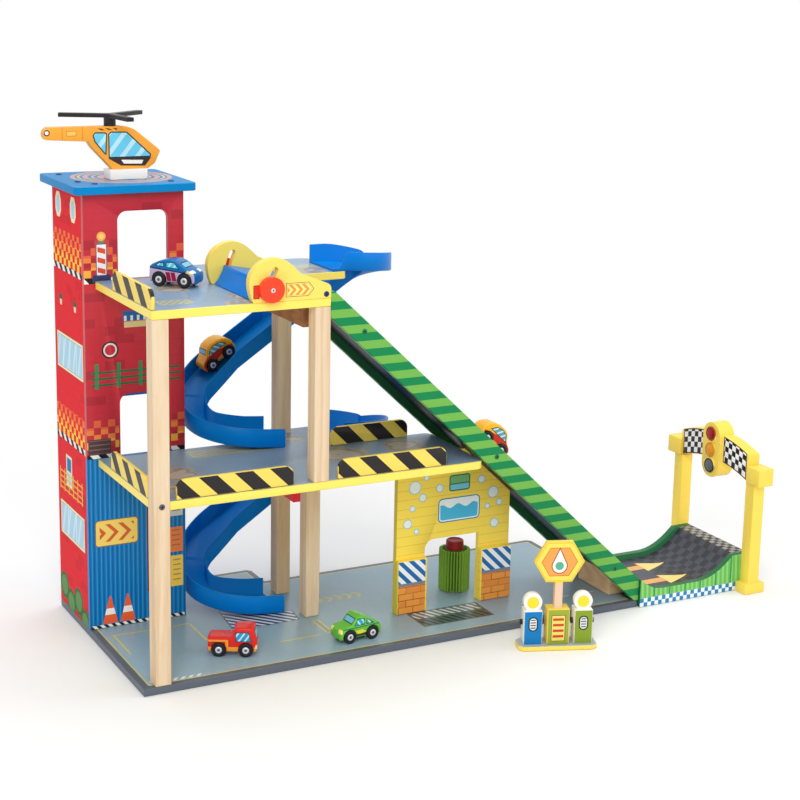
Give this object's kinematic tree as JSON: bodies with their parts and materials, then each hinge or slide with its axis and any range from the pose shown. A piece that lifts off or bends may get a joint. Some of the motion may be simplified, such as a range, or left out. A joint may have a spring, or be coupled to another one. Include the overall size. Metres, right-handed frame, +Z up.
{
  "type": "toy parking garage with lift",
  "caption": "Wooden toy garage: lift tower, two decks, two spiral slides, a launcher with a long ramp, a kicker with a start gate, a car wash, a fuel station, a helicopter and toy cars.",
  "frame": {"origin": "middle of the base board's underside, half its length and half its main depth from its front left corner", "axes": "+X along the front edge towards the start gate, +Y away from the front, +Z up"},
  "size_m": [1.113, 0.5317, 0.7886],
  "materials": {
    "grey_board": "painted and printed top, satin",
    "blue_paint": "painted, satin",
    "red_paint": "painted and printed, satin",
    "yellow_paint": "painted, satin",
    "pine": "bare wood, smooth",
    "brown_wood": "bare wood, smooth",
    "blue_plastic": "gloss",
    "green_paint": "painted with two green stripes, satin",
    "black_paint": "painted, satin",
    "amber_paint": "painted and printed, satin",
    "brush_green": "ribbed, matte",
    "knob_red": "gloss",
    "orange_paint": "painted and printed, satin",
    "rotor_black": "satin",
    "pump_blue_paint": "painted and printed, satin",
    "pump_green_paint": "painted and printed, satin",
    "car_blue_paint": "painted, gloss",
    "car_green_paint": "painted, gloss",
    "car_yellow_paint": "painted, gloss",
    "truck_red_paint": "painted, gloss",
    "wheel_black": "satin, with metal hub caps"
  },
  "bodies": {
    "garage": {"base_board": "grey_board", "tower_side_wall": "red_paint", "tower_front_wall": "red_paint", "tower_lower_wall": "blue_paint", "roof_board": "blue_paint", "lift_guide": "pine", "post_front_left": "pine", "post_front_right": "pine", "post_centre": "pine", "post_low": "pine", "deck_middle": "grey_board", "deck_upper": "grey_board", "cleat_upper": "brown_wood", "cleat_middle": "red_paint", "ramp_rail_front": "green_paint", "ramp_rail_back": "green_paint", "ramp_track": "black_paint", "ramp_block": "pine", "spiral_upper": "blue_plastic", "spiral_lower": "blue_plastic", "barrier_front_left": "amber_paint", "barrier_front_right": "amber_paint", "barrier_back": "amber_paint", "barrier_upper_left": "amber_paint", "barrier_middle_left": "amber_paint", "launcher_plate_front": "yellow_paint", "launcher_plate_back": "yellow_paint", "kicker_frame": "green_paint", "kicker_track": "black_paint", "gate_post_front": "amber_paint", "gate_post_back": "amber_paint", "gate_arch": "amber_paint", "wash_wall": "amber_paint", "brush_spindle": "pine"},
    "lift": {"lift_platform": "blue_plastic"},
    "tray": {"launcher_tray": "blue_plastic", "knob_front": "knob_red", "knob_back": "knob_red"},
    "brush": {"brush_roller": "brush_green"},
    "helicopter": {"helicopter_body": "orange_paint"},
    "rotor": {"helicopter_rotor": "rotor_black"},
    "station": {"station_base": "yellow_paint", "station_kiosk": "yellow_paint", "pump_blue": "pump_blue_paint", "pump_green": "pump_green_paint"},
    "blue_car": {"blue_car_body": "car_blue_paint"},
    "blue_car_front": {"blue_car_front_wheels": "wheel_black"},
    "blue_car_rear": {"blue_car_rear_wheels": "wheel_black"},
    "red_truck": {"red_truck_body": "truck_red_paint"},
    "red_truck_front": {"red_truck_front_wheels": "wheel_black"},
    "red_truck_rear": {"red_truck_rear_wheels": "wheel_black"},
    "green_car": {"green_car_body": "car_green_paint"},
    "green_car_front": {"green_car_front_wheels": "wheel_black"},
    "green_car_rear": {"green_car_rear_wheels": "wheel_black"},
    "ramp_car": {"ramp_car_body": "car_yellow_paint"},
    "ramp_car_front": {"ramp_car_front_wheels": "wheel_black"},
    "ramp_car_rear": {"ramp_car_rear_wheels": "wheel_black"},
    "lane_car": {"lane_car_body": "car_yellow_paint"},
    "lane_car_front": {"lane_car_front_wheels": "wheel_black"},
    "lane_car_rear": {"lane_car_rear_wheels": "wheel_black"}
  },
  "joints": [
    {"name": "lift_slide", "type": "slide", "parent": "garage", "child": "lift", "axis": [0, 0, 1], "range_m": [-0.3597, 0.172]},
    {"name": "tray_hinge", "type": "hinge", "parent": "garage", "child": "tray", "pos_m": [-0.144, -0.0825, 0.557], "axis": [0, 1, 0], "range_deg": [0, 18]},
    {"name": "brush_spin", "type": "hinge", "parent": "garage", "child": "brush", "pos_m": [0.175, 0.0065, 0.05], "axis": [0, 0, 1], "continuous": true},
    {"name": "helicopter_lift", "type": "slide", "parent": "garage", "child": "helicopter", "axis": [0, 0, 1], "range_m": [0, 0.1]},
    {"name": "rotor_spin", "type": "hinge", "parent": "helicopter", "child": "rotor", "pos_m": [-0.3554, 0.143, 0.78], "axis": [0, 0, 1], "continuous": true},
    {"name": "station_lift", "type": "slide", "parent": "garage", "child": "station", "axis": [0, 0, 1], "range_m": [0, 0.06]},
    {"name": "blue_car_lift", "type": "slide", "parent": "garage", "child": "blue_car", "axis": [0, 0, 1], "range_m": [0, 0.04]},
    {"name": "blue_car_front_spin", "type": "hinge", "parent": "blue_car", "child": "blue_car_front", "pos_m": [-0.29211, -0.01489, 0.5617], "axis": [0.7193, 0.6947, 0], "continuous": true},
    {"name": "blue_car_rear_spin", "type": "hinge", "parent": "blue_car", "child": "blue_car_rear", "pos_m": [-0.31989, 0.01389, 0.5617], "axis": [0.7193, 0.6947, 0], "continuous": true},
    {"name": "red_truck_lift", "type": "slide", "parent": "garage", "child": "red_truck", "axis": [0, 0, 1], "range_m": [0, 0.04]},
    {"name": "red_truck_front_spin", "type": "hinge", "parent": "red_truck", "child": "red_truck_front", "pos_m": [-0.23834, -0.10389, 0.0217], "axis": [0.4695, 0.8829, 0], "continuous": true},
    {"name": "red_truck_rear_spin", "type": "hinge", "parent": "red_truck", "child": "red_truck_rear", "pos_m": [-0.27366, -0.08511, 0.0217], "axis": [0.4695, 0.8829, 0], "continuous": true},
    {"name": "green_car_lift", "type": "slide", "parent": "garage", "child": "green_car", "axis": [0, 0, 1], "range_m": [0, 0.04]},
    {"name": "green_car_front_spin", "type": "hinge", "parent": "green_car", "child": "green_car_front", "pos_m": [-0.08589, -0.12059, 0.0217], "axis": [0.1045, -0.9945, 0], "continuous": true},
    {"name": "green_car_rear_spin", "type": "hinge", "parent": "green_car", "child": "green_car_rear", "pos_m": [-0.04611, -0.11641, 0.0217], "axis": [0.1045, -0.9945, 0], "continuous": true},
    {"name": "ramp_car_lift", "type": "slide", "parent": "garage", "child": "ramp_car", "axis": [0, 0, 1], "range_m": [0, 0.04]},
    {"name": "ramp_car_front_spin", "type": "hinge", "parent": "ramp_car", "child": "ramp_car_front", "pos_m": [0.16153, -0.1335, 0.28841], "axis": [0, 1, 0], "continuous": true},
    {"name": "ramp_car_rear_spin", "type": "hinge", "parent": "ramp_car", "child": "ramp_car_rear", "pos_m": [0.13662, -0.1335, 0.31155], "axis": [0, 1, 0], "continuous": true},
    {"name": "lane_car_lift", "type": "slide", "parent": "garage", "child": "lane_car", "axis": [0, 0, 1], "range_m": [0, 0.04]},
    {"name": "lane_car_front_spin", "type": "hinge", "parent": "lane_car", "child": "lane_car_front", "pos_m": [-0.18244, 0.1895, 0.38418], "axis": [0.0801, -0.9968, 0], "continuous": true},
    {"name": "lane_car_rear_spin", "type": "hinge", "parent": "lane_car", "child": "lane_car_rear", "pos_m": [-0.15433, 0.19176, 0.40316], "axis": [0.0801, -0.9968, 0], "continuous": true}
  ]
}
